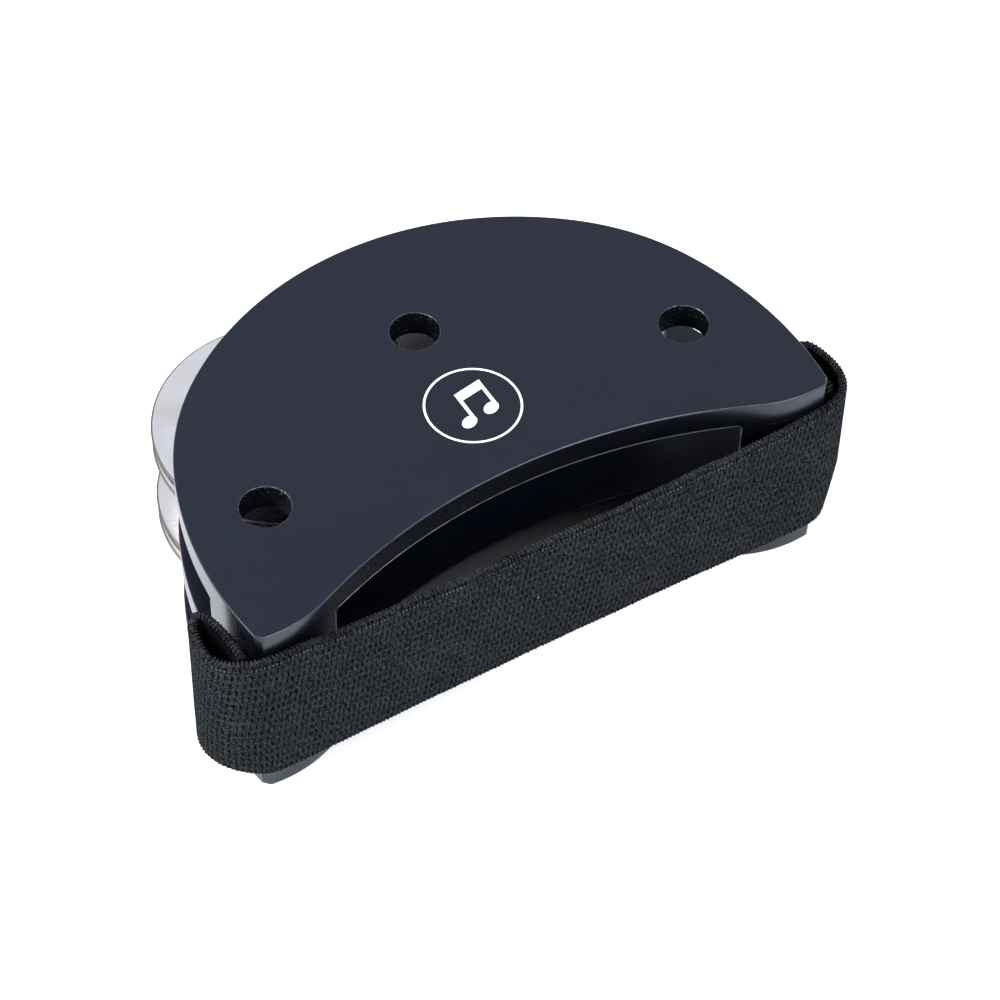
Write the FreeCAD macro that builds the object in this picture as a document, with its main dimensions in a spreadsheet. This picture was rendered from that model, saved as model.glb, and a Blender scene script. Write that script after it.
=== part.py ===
import FreeCAD, Part
import math
import os
import Sketcher

# A half-moon foot tambourine, in millimetres.
# Three boards are stacked with two open slots between them. Two upright pins carry a pair of loose
# jingles in each slot, and an elastic strap crosses the hollow side.
# +X runs from the left tip to the right tip, +Y from the strap to the rounded side, and +Z is up.
# Sketches are drawn about the middle of the line between the two tips, called the chord.

DIMENSIONS = {
    # rounded side of the boards: crown, shoulder and flank arcs, each tangent to the next
    "crown_radius": 67.5,
    "crown_centre": 11.5,
    "crown_half_width": 44.3,
    "shoulder_radius": 52,
    "shoulder_half_width": 58,
    "flank_radius": 78.5,
    "flank_end": 1.6,
    # hollow side of the boards: waist arc and the two lips that turn it out to the tips
    "waist_depth": 12.4,
    "waist_radius": 118,
    "waist_half_width": 48,
    "lip_radius": 26,
    "tip_half_width": 62.2,
    # stack, from the floor up
    "board_thickness": 6,
    "slot_height": 14,
    "edge_easing": 0.3,
    # inner wall of an end block: it runs from the hollow side out to the flank
    "wall_front_across": 45,
    "wall_front_depth": 3.6,
    "wall_flank_across": 64.2,
    "wall_flank_depth": 18.3,
    "clearing_margin": 90,
    # sound holes in the top board
    "sound_hole_radius": 5,
    "sound_hole_depth": 52.5,
    "side_hole_across": 46.9,
    "side_hole_depth": 27.6,
    # pins
    "pin_across": 28.2,
    "pin_depth": 54.3,
    "pin_radius": 1.5,
    "pin_head_radius": 3.2,
    "pin_head_thickness": 1.2,
    "pin_head_recess": 1.5,
    "pin_blind_depth": 4,
    "pin_point": 0.6,
    # jingles
    "jingle_radius": 26.5,
    "jingle_sheet": 0.6,
    "jingle_height": 4.8,
    "jingle_hole_radius": 3.5,
    "jingle_dome_radius": 16,
    "jingle_floor_gap": 0.2,
    "jingle_pair_gap": 0.3,
    "jingle_slack_out": 1.6,
    "jingle_slack_in": 0.9,
    "jingle_slack_across": 0.5,
    # strap
    "strap_thickness": 1.6,
    "strap_width": 35,
    "strap_lift": 5.9,
    "strap_front": 1.1,
    "strap_inner_across": 65.4,
    "strap_outer_across": 70.2,
    "strap_corner_radius": 9.5,
    "strap_end_depth": 3,
    "strap_fold_depth": 12.7,
    # staples in the strap's ends
    "staple_crown": 10,
    "staple_wire_width": 1.2,
    "staple_wire_thickness": 0.7,
    "staple_leg": 6,
    "staple_depth": 8.5,
    # distance from the chord back to the middle of the whole object
    "chord_to_origin": 40.25,
}

SIDES = {"left": -1, "right": 1}

# millimetres, or cubic millimetres, below which two sizes count as the same
SAME = 1e-6
SAME_VOLUME = 1e-3
# how far the origin may be from the middle of the object's box
ORIGIN_SLACK = 0.05
# how far the cut that clears a slot runs past the end block's wall, as a share of the wall's length
WALL_OVERRUN = 0.4

doc = FreeCAD.newDocument("FootTambourine")


def make_sheet():
    """Write each driving dimension into a row: its name in column A, its value in column B."""
    sheet = doc.addObject("Spreadsheet::Sheet", "Dimensions")
    for row, (alias, number) in enumerate(DIMENSIONS.items(), start=1):
        sheet.set(f"A{row}", alias)
        sheet.set(f"B{row}", str(number))
        sheet.setAlias(f"B{row}", alias)
    doc.recompute()
    return sheet


SHEET = make_sheet()


def cell(alias):
    return f"Dimensions.{alias}"


def number(expression):
    """The present value of an expression on the sheet."""
    result = SHEET.evalExpression(expression)
    return float(getattr(result, "Value", result))


def new_body(label):
    body = doc.addObject("PartDesign::Body", label)
    body.Label = label
    return body


def set_place(body, across="0", depth="0", height="0", rotation=None):
    """Bind a sub-part's Placement. Depth is measured from the chord."""
    if rotation is not None:
        body.Placement = FreeCAD.Placement(FreeCAD.Vector(), rotation)
    body.setExpression("Placement.Base.x", across)
    body.setExpression("Placement.Base.y", f"{depth} - {cell('chord_to_origin')}")
    body.setExpression("Placement.Base.z", height)


def new_sketch(body, name, role="XY_Plane"):
    sketch = body.newObject("Sketcher::SketchObject", name)
    plane = next(part for part in body.Origin.OriginFeatures if part.Role == role)
    sketch.AttachmentSupport = [(plane, "")]
    sketch.MapMode = "FlatFace"
    return sketch


def measure(sketch, kind, refs, expression):
    """Add a dimension whose value comes from the sheet."""
    index = sketch.addConstraint(Sketcher.Constraint(kind, *refs, number(expression)))
    sketch.setExpression(f"Constraints[{index}]", expression)


def fix_point(sketch, geometry, end, axis, expression):
    """Hold one end of a curve at a signed distance from the sketch's origin along an axis."""
    refs = (-1, 1, geometry, end)
    if number(expression) < 0:
        refs = (geometry, end, -1, 1)
        expression = f"-({expression})"
    if abs(number(expression)) < SAME:
        line = -2 if axis == "X" else -1
        sketch.addConstraint(Sketcher.Constraint("PointOnObject", geometry, end, line))
        return
    measure(sketch, f"Distance{axis}", refs, expression)


def polygon(sketch, corners):
    """Closed outline of straight lines. Each corner is a pair of expressions."""
    points = [FreeCAD.Vector(number(across), number(up), 0) for across, up in corners]
    count = len(points)
    for index in range(count):
        sketch.addGeometry(Part.LineSegment(points[index], points[(index + 1) % count]))
    for index in range(count):
        sketch.addConstraint(Sketcher.Constraint("Coincident", index, 2, (index + 1) % count, 1))
    for index, (across, up) in enumerate(corners):
        fix_point(sketch, index, 1, "X", across)
        fix_point(sketch, index, 1, "Y", up)


def segment(start, end):
    return Part.LineSegment(FreeCAD.Vector(*start, 0), FreeCAD.Vector(*end, 0))


def circle(sketch, across, depth, radius):
    middle = FreeCAD.Vector(number(across), number(depth), 0)
    shape = Part.Circle(middle, FreeCAD.Vector(0, 0, 1), number(radius))
    index = sketch.addGeometry(shape)
    measure(sketch, "Radius", (index,), radius)
    fix_point(sketch, index, 3, "X", across)
    fix_point(sketch, index, 3, "Y", depth)


def arc(middle, radius, start, end):
    """Counter-clockwise arc about a point, from one point to another."""
    angles = [math.atan2(point[1] - middle[1], point[0] - middle[0]) for point in (start, end)]
    if angles[1] < angles[0]:
        angles[1] += 2 * math.pi
    base = Part.Circle(FreeCAD.Vector(*middle, 0), FreeCAD.Vector(0, 0, 1), radius)
    return Part.ArcOfCircle(base, *angles)


def along(start, end, ratio):
    """The point that lies at a ratio of the way from start to end."""
    return tuple(a + (b - a) * ratio for a, b in zip(start, end))


def outline_points():
    """Centres and joints of the right half of the boards' outline."""
    size = {alias: number(cell(alias)) for alias in DIMENSIONS}
    crown = (0, size["crown_centre"])
    across = size["crown_half_width"]
    crown_end = (across, crown[1] + math.sqrt(size["crown_radius"] ** 2 - across ** 2))
    shoulder = along(crown_end, crown, size["shoulder_radius"] / size["crown_radius"])
    across = size["shoulder_half_width"]
    rise = math.sqrt(size["shoulder_radius"] ** 2 - (across - shoulder[0]) ** 2)
    shoulder_end = (across, shoulder[1] + rise)
    flank = along(shoulder_end, shoulder, size["flank_radius"] / size["shoulder_radius"])
    depth = size["flank_end"]
    reach = math.sqrt(size["flank_radius"] ** 2 - (depth - flank[1]) ** 2)
    flank_end = (flank[0] + reach, depth)
    waist = (0, size["waist_depth"] - size["waist_radius"])
    across = size["waist_half_width"]
    waist_end = (across, waist[1] + math.sqrt(size["waist_radius"] ** 2 - across ** 2))
    lip = along(waist_end, waist, -size["lip_radius"] / size["waist_radius"])
    across = size["tip_half_width"]
    lip_end = (across, lip[1] - math.sqrt(size["lip_radius"] ** 2 - (across - lip[0]) ** 2))
    return {
        "crown": crown, "crown_end": crown_end, "shoulder": shoulder, "shoulder_end": shoulder_end,
        "flank": flank, "flank_end": flank_end, "waist": waist, "waist_end": waist_end,
        "lip": lip, "lip_end": lip_end,
    }


def joined_arc(sketch, middle, radius_alias, ends, sign, joined_to):
    """Arc of one side of the outline, tangent to its neighbour at its first end.

    The left side is the mirror of the right one, so its counter-clockwise arc runs the other way.
    Returns the arc's number and which of its ends is the free one.
    """
    middle, first, last = [(sign * point[0], point[1]) for point in (middle, *ends)]
    from_middle = [(point[0] - middle[0], point[1] - middle[1]) for point in (first, last)]
    forward = from_middle[0][0] * from_middle[1][1] > from_middle[0][1] * from_middle[1][0]
    start, end = (first, last) if forward else (last, first)
    index = sketch.addGeometry(arc(middle, number(cell(radius_alias)), start, end))
    near, far = (1, 2) if forward else (2, 1)
    sketch.addConstraint(Sketcher.Constraint("Tangent", *joined_to, index, near))
    measure(sketch, "Radius", (index,), cell(radius_alias))
    return index, far


def middle_arc(sketch, middle, radius_alias, right_end, centre_expression, half_width_alias):
    """Arc across the middle of the outline, centred on the Y axis."""
    left_end = (-right_end[0], right_end[1])
    index = sketch.addGeometry(arc(middle, number(cell(radius_alias)), right_end, left_end))
    measure(sketch, "Radius", (index,), cell(radius_alias))
    sketch.addConstraint(Sketcher.Constraint("PointOnObject", index, 3, -2))
    fix_point(sketch, index, 3, "Y", centre_expression)
    fix_point(sketch, index, 1, "X", cell(half_width_alias))
    fix_point(sketch, index, 2, "X", f"-{cell(half_width_alias)}")
    return index


def draw_outline(sketch):
    """The half-moon outline that all three boards and the end blocks share."""
    at = outline_points()
    crown = middle_arc(
        sketch, at["crown"], "crown_radius", at["crown_end"], cell("crown_centre"), "crown_half_width")
    waist_centre = f"{cell('waist_depth')} - {cell('waist_radius')}"
    waist = middle_arc(
        sketch, at["waist"], "waist_radius", at["waist_end"], waist_centre, "waist_half_width")
    ends = {
        "shoulder": (at["crown_end"], at["shoulder_end"]),
        "flank": (at["shoulder_end"], at["flank_end"]),
        "lip": (at["waist_end"], at["lip_end"]),
    }

    def side_arc(name, sign, joined_to):
        return joined_arc(sketch, at[name], f"{name}_radius", ends[name], sign, joined_to)

    for sign, end in ((1, 1), (-1, 2)):
        shoulder = side_arc("shoulder", sign, (crown, end))
        fix_point(sketch, *shoulder, "X", f"{sign} * {cell('shoulder_half_width')}")
        flank = side_arc("flank", sign, shoulder)
        fix_point(sketch, *flank, "Y", cell("flank_end"))
        lip = side_arc("lip", sign, (waist, end))
        fix_point(sketch, *lip, "X", f"{sign} * {cell('tip_half_width')}")
        corners = [(sign * at[name][0], at[name][1]) for name in ("flank_end", "lip_end")]
        tip = sketch.addGeometry(segment(*corners))
        sketch.addConstraint(Sketcher.Constraint("Coincident", *flank, tip, 1))
        sketch.addConstraint(Sketcher.Constraint("Coincident", *lip, tip, 2))


def pad(body, sketch, length):
    feature = body.newObject("PartDesign::Pad", f"{sketch.Name}_pad")
    feature.Profile = sketch
    feature.setExpression("Length", length)
    doc.recompute()
    return feature


def pocket(body, sketch, length, upward=True):
    """Cut a sketch into the body and make sure that it took material away."""
    before = body.Shape.Volume
    feature = body.newObject("PartDesign::Pocket", f"{sketch.Name}_pocket")
    feature.Profile = sketch
    feature.Reversed = upward
    feature.setExpression("Length", length)
    doc.recompute()
    if body.Shape.Volume > before - SAME_VOLUME:
        raise RuntimeError(f"{feature.Name} cut nothing")
    return feature


def revolve(body, sketch):
    feature = body.newObject("PartDesign::Revolution", f"{sketch.Name}_turn")
    feature.Profile = sketch
    feature.ReferenceAxis = (sketch, ["V_Axis"])
    feature.Angle = 360
    doc.recompute()
    return feature


def ease_face(body, base, height):
    """Ease the edges of the flat face at one height."""
    face = next(
        index for index, shape in enumerate(base.Shape.Faces, start=1)
        if abs(shape.BoundBox.ZMin - height) < SAME and abs(shape.BoundBox.ZMax - height) < SAME)
    feature = body.newObject("PartDesign::Chamfer", f"{body.Name}_easing")
    feature.Base = (base, [f"Face{face}"])
    feature.setExpression("Size", cell("edge_easing"))
    doc.recompute()


def board(label, height, eased=None):
    """A full half-moon board, with one face's edges eased where it lies outside the stack."""
    body = new_body(label)
    sketch = new_sketch(body, f"{label}_outline")
    draw_outline(sketch)
    base = pad(body, sketch, cell("board_thickness"))
    if eased is not None:
        ease_face(body, base, eased)
    set_place(body, height=height)
    return body


def pin_holes(body, name, radius, length):
    sketch = new_sketch(body, f"{body.Name}_{name}")
    for sign in SIDES.values():
        circle(sketch, f"{sign} * {cell('pin_across')}", cell("pin_depth"), radius)
    pocket(body, sketch, length)


def top_plate():
    body = board("top_plate", f"2 * ({cell('board_thickness')} + {cell('slot_height')})",
                 eased=number(cell("board_thickness")))
    pin_holes(body, "pin_holes", cell("pin_radius"), cell("pin_blind_depth"))
    sketch = new_sketch(body, "sound_holes")
    circle(sketch, "0", cell("sound_hole_depth"), cell("sound_hole_radius"))
    for sign in SIDES.values():
        across = f"{sign} * {cell('side_hole_across')}"
        circle(sketch, across, cell("side_hole_depth"), cell("sound_hole_radius"))
    pocket(body, sketch, cell("board_thickness"))
    return body


def middle_plate():
    body = board("middle_plate", f"{cell('board_thickness')} + {cell('slot_height')}")
    pin_holes(body, "pin_holes", cell("pin_radius"), cell("board_thickness"))
    return body


def bottom_plate():
    body = board("bottom_plate", "0", eased=0)
    pin_holes(body, "pin_holes", cell("pin_radius"), cell("board_thickness"))
    pin_holes(body, "head_recesses", cell("pin_head_radius"), cell("pin_head_recess"))
    return body


def end_block(row, side):
    """Solid end of a slot: the tip that is left when the middle of the outline is cleared away."""
    label = f"{row}_spacer_{side}"
    sign = SIDES[side]
    body = new_body(label)
    outline = new_sketch(body, f"{label}_outline")
    draw_outline(outline)
    pad(body, outline, cell("slot_height"))
    run = f"({cell('wall_flank_across')} - {cell('wall_front_across')})"
    rise = f"({cell('wall_flank_depth')} - {cell('wall_front_depth')})"
    margin = cell("clearing_margin")
    front = f"{cell('wall_front_across')} - {WALL_OVERRUN} * {run}"
    flank = f"{cell('wall_flank_across')} + {WALL_OVERRUN} * {run}"
    corners = [
        (front, f"{cell('wall_front_depth')} - {WALL_OVERRUN} * {rise}"),
        (flank, f"{cell('wall_flank_depth')} + {WALL_OVERRUN} * {rise}"),
        (flank, margin),
        (f"-{margin}", margin),
        (f"-{margin}", f"-{margin}"),
        (front, f"-{margin}"),
    ]
    clearing = new_sketch(body, f"{label}_clearing")
    polygon(clearing, [(f"{sign} * ({across})", depth) for across, depth in corners])
    pocket(body, clearing, cell("slot_height"))
    height = cell("board_thickness")
    if row == "upper":
        height = f"2 * {cell('board_thickness')} + {cell('slot_height')}"
    set_place(body, height=height)
    return body


def jingle_pin(side):
    """Headed steel pin, driven up from the underside. Its head sits in the bottom board's recess."""
    label = f"jingle_pin_{side}"
    body = new_body(label)
    head_base = f"({cell('pin_head_recess')} - {cell('pin_head_thickness')})"
    top_board = f"2 * ({cell('board_thickness')} + {cell('slot_height')})"
    tip = f"({top_board} + {cell('pin_blind_depth')} - {head_base})"
    profile = new_sketch(body, f"{label}_profile", "XZ_Plane")
    polygon(profile, [
        ("0", "0"),
        (cell("pin_head_radius"), "0"),
        (cell("pin_head_radius"), cell("pin_head_thickness")),
        (cell("pin_radius"), cell("pin_head_thickness")),
        (cell("pin_radius"), f"{tip} - {cell('pin_point')}"),
        (f"{cell('pin_radius')} - {cell('pin_point')}", tip),
        ("0", tip),
    ])
    revolve(body, profile)
    set_place(body, f"{SIDES[side]} * {cell('pin_across')}", cell("pin_depth"), head_base)
    return body


def draw_jingle(sketch):
    """Half section of a jingle: a flat rim of thin sheet that rises into a round dome with a hole."""
    sheet = number(cell("jingle_sheet"))
    rim = number(cell("jingle_radius"))
    hole = number(cell("jingle_hole_radius"))
    outer = number(cell("jingle_dome_radius"))
    inner = outer - sheet
    centre_up = number(cell("jingle_height")) - outer
    middle = (0, centre_up)
    foot_out = (math.sqrt(outer ** 2 - (sheet - centre_up) ** 2), sheet)
    foot_in = (math.sqrt(inner ** 2 - centre_up ** 2), 0)
    hole_out = (hole, centre_up + math.sqrt(outer ** 2 - hole ** 2))
    hole_in = (hole, centre_up + math.sqrt(inner ** 2 - hole ** 2))
    corners = [foot_out, (rim, sheet), (rim, 0), foot_in]
    for first, last in zip(corners, corners[1:]):
        sketch.addGeometry(segment(first, last))
    sketch.addGeometry(arc(middle, inner, foot_in, hole_in))
    sketch.addGeometry(segment(hole_in, hole_out))
    sketch.addGeometry(arc(middle, outer, foot_out, hole_out))
    top, edge, underside, inside, wall, outside = range(6)
    joints = [(top, 2, edge, 1), (edge, 2, underside, 1), (underside, 2, inside, 1),
              (inside, 2, wall, 1), (wall, 2, outside, 2), (outside, 1, top, 1), (inside, 3, outside, 3)]
    for joint in joints:
        sketch.addConstraint(Sketcher.Constraint("Coincident", *joint))
    for line in (top, underside):
        sketch.addConstraint(Sketcher.Constraint("Horizontal", line))
    for line in (edge, wall):
        sketch.addConstraint(Sketcher.Constraint("Vertical", line))
    sketch.addConstraint(Sketcher.Constraint("PointOnObject", outside, 3, -2))
    measure(sketch, "Radius", (outside,), cell("jingle_dome_radius"))
    measure(sketch, "Radius", (inside,), f"{cell('jingle_dome_radius')} - {cell('jingle_sheet')}")
    fix_point(sketch, outside, 3, "Y", f"{cell('jingle_height')} - {cell('jingle_dome_radius')}")
    fix_point(sketch, underside, 1, "Y", "0")
    fix_point(sketch, top, 1, "Y", cell("jingle_sheet"))
    fix_point(sketch, edge, 1, "X", cell("jingle_radius"))
    fix_point(sketch, wall, 1, "X", cell("jingle_hole_radius"))


def jingle(row, side, member):
    """One of a pair. The bottom one has its dome down and the top one has its dome up, rim to rim.

    Each hangs a little off its pin's axis, within the slack of its hole.
    """
    label = f"jingle_{row}_{side}_{member}"
    body = new_body(label)
    profile = new_sketch(body, f"{label}_profile", "XZ_Plane")
    draw_jingle(profile)
    revolve(body, profile)
    floor = cell("board_thickness")
    if row == "upper":
        floor = f"2 * {cell('board_thickness')} + {cell('slot_height')}"
    rim = f"{floor} + {cell('jingle_floor_gap')} + {cell('jingle_height')}"
    sign = SIDES[side]
    across = f"{sign} * ({cell('pin_across')} + {cell('jingle_slack_across')})"
    depth = f"{cell('pin_depth')} - {cell('jingle_slack_in')}"
    rotation = FreeCAD.Rotation(FreeCAD.Vector(1, 0, 0), 180)
    if member == "top":
        rim = f"{rim} + {cell('jingle_pair_gap')}"
        across = f"{sign} * ({cell('pin_across')} - {cell('jingle_slack_across')})"
        depth = f"{cell('pin_depth')} + {cell('jingle_slack_out')}"
        rotation = FreeCAD.Rotation()
    set_place(body, across, depth, rim, rotation)
    return body


def draw_strap_path(sketch):
    """Middle line of the strap, seen from above.

    From the fixed end it runs back along the right flank, folds outward, comes forward round the tip
    in a rounded corner, crosses the hollow side and does the same on the left in reverse.
    """
    inner = number(cell("strap_inner_across"))
    outer = number(cell("strap_outer_across"))
    fold = number(cell("strap_fold_depth"))
    end = number(cell("strap_end_depth"))
    front = -number(cell("strap_front"))
    corner = number(cell("strap_corner_radius"))
    turn = (outer - inner) / 2

    reach = outer - corner
    bend = front + corner
    curves = {
        "right_end": segment((inner, end), (inner, fold)),
        "right_fold": arc((inner + turn, fold), turn, (outer, fold), (inner, fold)),
        "right_run": segment((outer, fold), (outer, bend)),
        "right_corner": arc((reach, bend), corner, (reach, front), (outer, bend)),
        "front": segment((reach, front), (-reach, front)),
        "left_corner": arc((-reach, bend), corner, (-outer, bend), (-reach, front)),
        "left_run": segment((-outer, bend), (-outer, fold)),
        "left_fold": arc((-inner - turn, fold), turn, (-inner, fold), (-outer, fold)),
        "left_end": segment((-inner, fold), (-inner, end)),
    }
    pieces = {name: sketch.addGeometry(curve) for name, curve in curves.items()}
    joints = [
        ("right_end", 2, "right_fold", 2), ("right_fold", 1, "right_run", 1),
        ("right_run", 2, "right_corner", 2), ("right_corner", 1, "front", 1),
        ("front", 2, "left_corner", 2), ("left_corner", 1, "left_run", 1),
        ("left_run", 2, "left_fold", 2), ("left_fold", 1, "left_end", 1),
    ]
    for first, first_end, second, second_end in joints:
        refs = (pieces[first], first_end, pieces[second], second_end)
        sketch.addConstraint(Sketcher.Constraint("Tangent", *refs))
    sketch.addConstraint(Sketcher.Constraint("Horizontal", pieces["front"]))
    fix_point(sketch, pieces["front"], 1, "Y", f"-{cell('strap_front')}")
    for side, sign in SIDES.items():
        sketch.addConstraint(Sketcher.Constraint("Vertical", pieces[f"{side}_end"]))
        sketch.addConstraint(Sketcher.Constraint("Vertical", pieces[f"{side}_run"]))
        free, folded = (1, 2) if side == "right" else (2, 1)
        fix_point(sketch, pieces[f"{side}_end"], free, "X", f"{sign} * {cell('strap_inner_across')}")
        fix_point(sketch, pieces[f"{side}_end"], free, "Y", cell("strap_end_depth"))
        fix_point(sketch, pieces[f"{side}_end"], folded, "Y", cell("strap_fold_depth"))
        fix_point(sketch, pieces[f"{side}_run"], 1, "X", f"{sign} * {cell('strap_outer_across')}")
        measure(sketch, "Radius", (pieces[f"{side}_corner"],), cell("strap_corner_radius"))


def elastic_strap():
    body = new_body("elastic_strap")
    path = new_sketch(body, "strap_path")
    draw_strap_path(path)
    section = new_sketch(body, "strap_section", "XZ_Plane")
    half = f"{cell('strap_thickness')} / 2"
    inner = cell("strap_inner_across")
    polygon(section, [
        (f"{inner} - {half}", "0"),
        (f"{inner} + {half}", "0"),
        (f"{inner} + {half}", cell("strap_width")),
        (f"{inner} - {half}", cell("strap_width")),
    ])
    section.setExpression("AttachmentOffset.Base.z", f"-{cell('strap_end_depth')}")
    pipe = body.newObject("PartDesign::AdditivePipe", "strap_sweep")
    pipe.Profile = section
    pipe.Spine = (path, [f"Edge{index + 1}" for index in range(path.GeometryCount)])
    set_place(body, height=cell("strap_lift"))
    return body


def staple_bar(name, size, place):
    """One straight bar of a staple, with its size and place bound to the sheet."""
    bar = doc.addObject("Part::Box", name)
    for side, expression in zip(("Length", "Width", "Height"), size):
        bar.setExpression(side, expression)
    set_place(bar, *place)
    return bar


def strap_staples(side):
    """Two staples, one in each end block, with upright crowns on the strap's fixed end."""
    sign = SIDES[side]
    wide = cell("staple_wire_width")
    thin = cell("staple_wire_thickness")
    face = f"({cell('strap_inner_across')} + {cell('strap_thickness')} / 2)"
    crown_side = face if sign > 0 else f"-{face} - {thin}"
    leg_side = f"{face} - {cell('staple_leg')}" if sign > 0 else f"-{face}"
    depth = f"{cell('staple_depth')} - {wide} / 2"
    slots = {
        "lower": cell("board_thickness"),
        "upper": f"2 * {cell('board_thickness')} + {cell('slot_height')}",
    }
    bars = []
    for row, floor in slots.items():
        low = f"{floor} + ({cell('slot_height')} - {cell('staple_crown')}) / 2"
        high = f"{low} + {cell('staple_crown')} - {wide}"
        name = f"{side}_{row}_staple"
        crown = (thin, wide, cell("staple_crown"))
        bars.append(staple_bar(f"{name}_crown", crown, (crown_side, depth, low)))
        for end, height in (("low", low), ("high", high)):
            size = (cell("staple_leg"), wide, wide)
            bars.append(staple_bar(f"{name}_{end}_leg", size, (leg_side, depth, height)))
    group = doc.addObject("Part::MultiFuse", f"strap_staples_{side}")
    group.Label = f"strap_staples_{side}"
    group.Shapes = bars
    return group


def build():
    parts = [top_plate(), middle_plate(), bottom_plate()]
    for side in SIDES:
        for row in ("upper", "lower"):
            parts.append(end_block(row, side))
            parts.extend(jingle(row, side, member) for member in ("bottom", "top"))
        parts.append(jingle_pin(side))
        parts.append(strap_staples(side))
    parts.append(elastic_strap())
    doc.recompute()
    return parts


def check(parts):
    """Stop on any failed object, bad shape, or origin that isn't under the middle of the object."""
    for item in doc.Objects:
        if "Invalid" in item.State or "Error" in item.State:
            raise RuntimeError(f"{item.Name} is {item.State}")
    box = FreeCAD.BoundBox()
    for part in parts:
        if part.Shape.isNull() or not part.Shape.isValid():
            raise RuntimeError(f"{part.Label} has a bad shape")
        box.add(part.Shape.BoundBox)
        print(f"{part.Label}: {len(part.Shape.Solids)} solid(s), {part.Shape.Volume:.1f} mm3")
    print(f"size {box.XLength:.2f} x {box.YLength:.2f} x {box.ZLength:.2f} mm")
    if max(abs(box.Center.x), abs(box.Center.y), abs(box.ZMin)) > ORIGIN_SLACK:
        raise RuntimeError("the origin isn't on the floor under the middle of the object")


def export(parts):
    os.makedirs("parts", exist_ok=True)
    for part in parts:
        part.Shape.exportStep(f"parts/{part.Label}.step")


PARTS = build()
check(PARTS)
export(PARTS)
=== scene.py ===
"""Looks of a half-moon foot tambourine: painted boards, loose nickel jingles, a woven elastic strap."""
import math

import bmesh
import bpy
import numpy as np
from mathutils import Matrix, Vector


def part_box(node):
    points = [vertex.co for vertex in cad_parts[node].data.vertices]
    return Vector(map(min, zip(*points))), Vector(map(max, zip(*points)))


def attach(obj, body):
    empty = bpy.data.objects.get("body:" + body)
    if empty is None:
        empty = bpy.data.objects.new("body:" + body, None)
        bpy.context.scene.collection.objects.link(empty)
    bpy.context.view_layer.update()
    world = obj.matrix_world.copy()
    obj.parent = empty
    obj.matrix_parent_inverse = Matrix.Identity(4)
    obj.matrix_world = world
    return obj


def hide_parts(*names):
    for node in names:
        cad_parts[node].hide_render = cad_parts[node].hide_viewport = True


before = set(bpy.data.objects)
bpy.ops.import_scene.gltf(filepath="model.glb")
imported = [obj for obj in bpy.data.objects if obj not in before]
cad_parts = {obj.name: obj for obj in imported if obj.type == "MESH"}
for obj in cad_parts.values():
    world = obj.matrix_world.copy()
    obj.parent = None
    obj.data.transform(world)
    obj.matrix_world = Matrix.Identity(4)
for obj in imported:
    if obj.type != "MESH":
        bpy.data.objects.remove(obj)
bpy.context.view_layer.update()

MM = 0.001
SIDES = {"left": -1, "right": 1}
ROWS = ("lower", "upper")
rng = np.random.default_rng(20)


# ---- reading the CAD

def box_mm(node):
    """Lowest and highest corner of a CAD node at rest, in millimetres."""
    low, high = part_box(node)
    return np.array(low) / MM, np.array(high) / MM


def levels(node):
    """Lowest and highest level of a CAD node at rest, in millimetres."""
    low, high = box_mm(node)
    return low[2], high[2]


def flat_loops(node, height):
    """Outlines of a CAD node's flat face at one height, in millimetres, outermost first."""
    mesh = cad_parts[node].data
    micron = [tuple(round(c * 1e6) for c in vertex.co) for vertex in mesh.vertices]
    level = round(height * 1e3)
    edges = set()
    for face in mesh.polygons:
        corners = [micron[index] for index in face.vertices]
        if all(abs(corner[2] - level) <= 1 for corner in corners):
            corners = [corner[:2] for corner in corners]
            edges.update(zip(corners, corners[1:] + corners[:1]))
    following = {start: end for start, end in edges if (end, start) not in edges}
    loops = []
    while following:
        start, point = following.popitem()
        loop = [start]
        while point in following:
            loop.append(point)
            point = following.pop(point)
        loops.append(np.array(loop) / 1e3)
    loops.sort(key=lambda loop: -np.ptp(loop[:, 0]))
    return loops


OUTLINE_SPACING = 0.8
CORNER_TURN = 20


def anticlockwise(loop):
    x, y = loop[:, 0], loop[:, 1]
    area = np.sum(x * np.roll(y, -1) - np.roll(x, -1) * y)
    return loop if area > 0 else loop[::-1]


def refine(loop, corner_ease):
    """Even points along a loop, smooth between its corners and with each corner slightly rounded."""
    loop = anticlockwise(loop)
    step = np.roll(loop, -1, axis=0) - loop
    keep = np.linalg.norm(step, axis=1) > 1e-3
    loop = loop[keep]
    heading = unit(np.roll(loop, -1, axis=0) - loop)
    before = np.roll(heading, 1, axis=0)
    turn = np.degrees(np.arctan2(
        before[:, 0] * heading[:, 1] - before[:, 1] * heading[:, 0], np.sum(before * heading, axis=1)))
    corners = np.flatnonzero(np.abs(turn) > CORNER_TURN)
    result = []
    for number, first in enumerate(corners):
        last = corners[(number + 1) % len(corners)]
        count = (last - first) % len(loop) or len(loop)
        run = smooth_run(loop[(first + np.arange(count + 1)) % len(loop)])
        lead = (run[1] - run[0]) / np.linalg.norm(run[1] - run[0])
        tail = (run[-1] - run[-2]) / np.linalg.norm(run[-1] - run[-2])
        ends = [corner_ease * math.tan(math.radians(abs(turn[index])) / 2) for index in (first, last)]
        along = lengths_along(run)
        clear = (along > ends[0] * 1.3) & (along < along[-1] - ends[1] * 1.3)
        inner = run[1:-1][clear[1:-1]]
        start = run[0] + lead * ends[0]
        stop = run[-1] - tail * ends[1]
        result.append((start, inner, stop, run[-1]))
    points = []
    for number, (start, inner, stop, corner) in enumerate(result):
        following = result[(number + 1) % len(result)][0]
        points.append(start)
        points.extend(inner)
        for share in np.linspace(0, 1, 6)[:-1]:
            rest = 1 - share
            points.append(rest ** 2 * stop + 2 * share * rest * corner + share ** 2 * following)
    return np.array(points)


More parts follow.
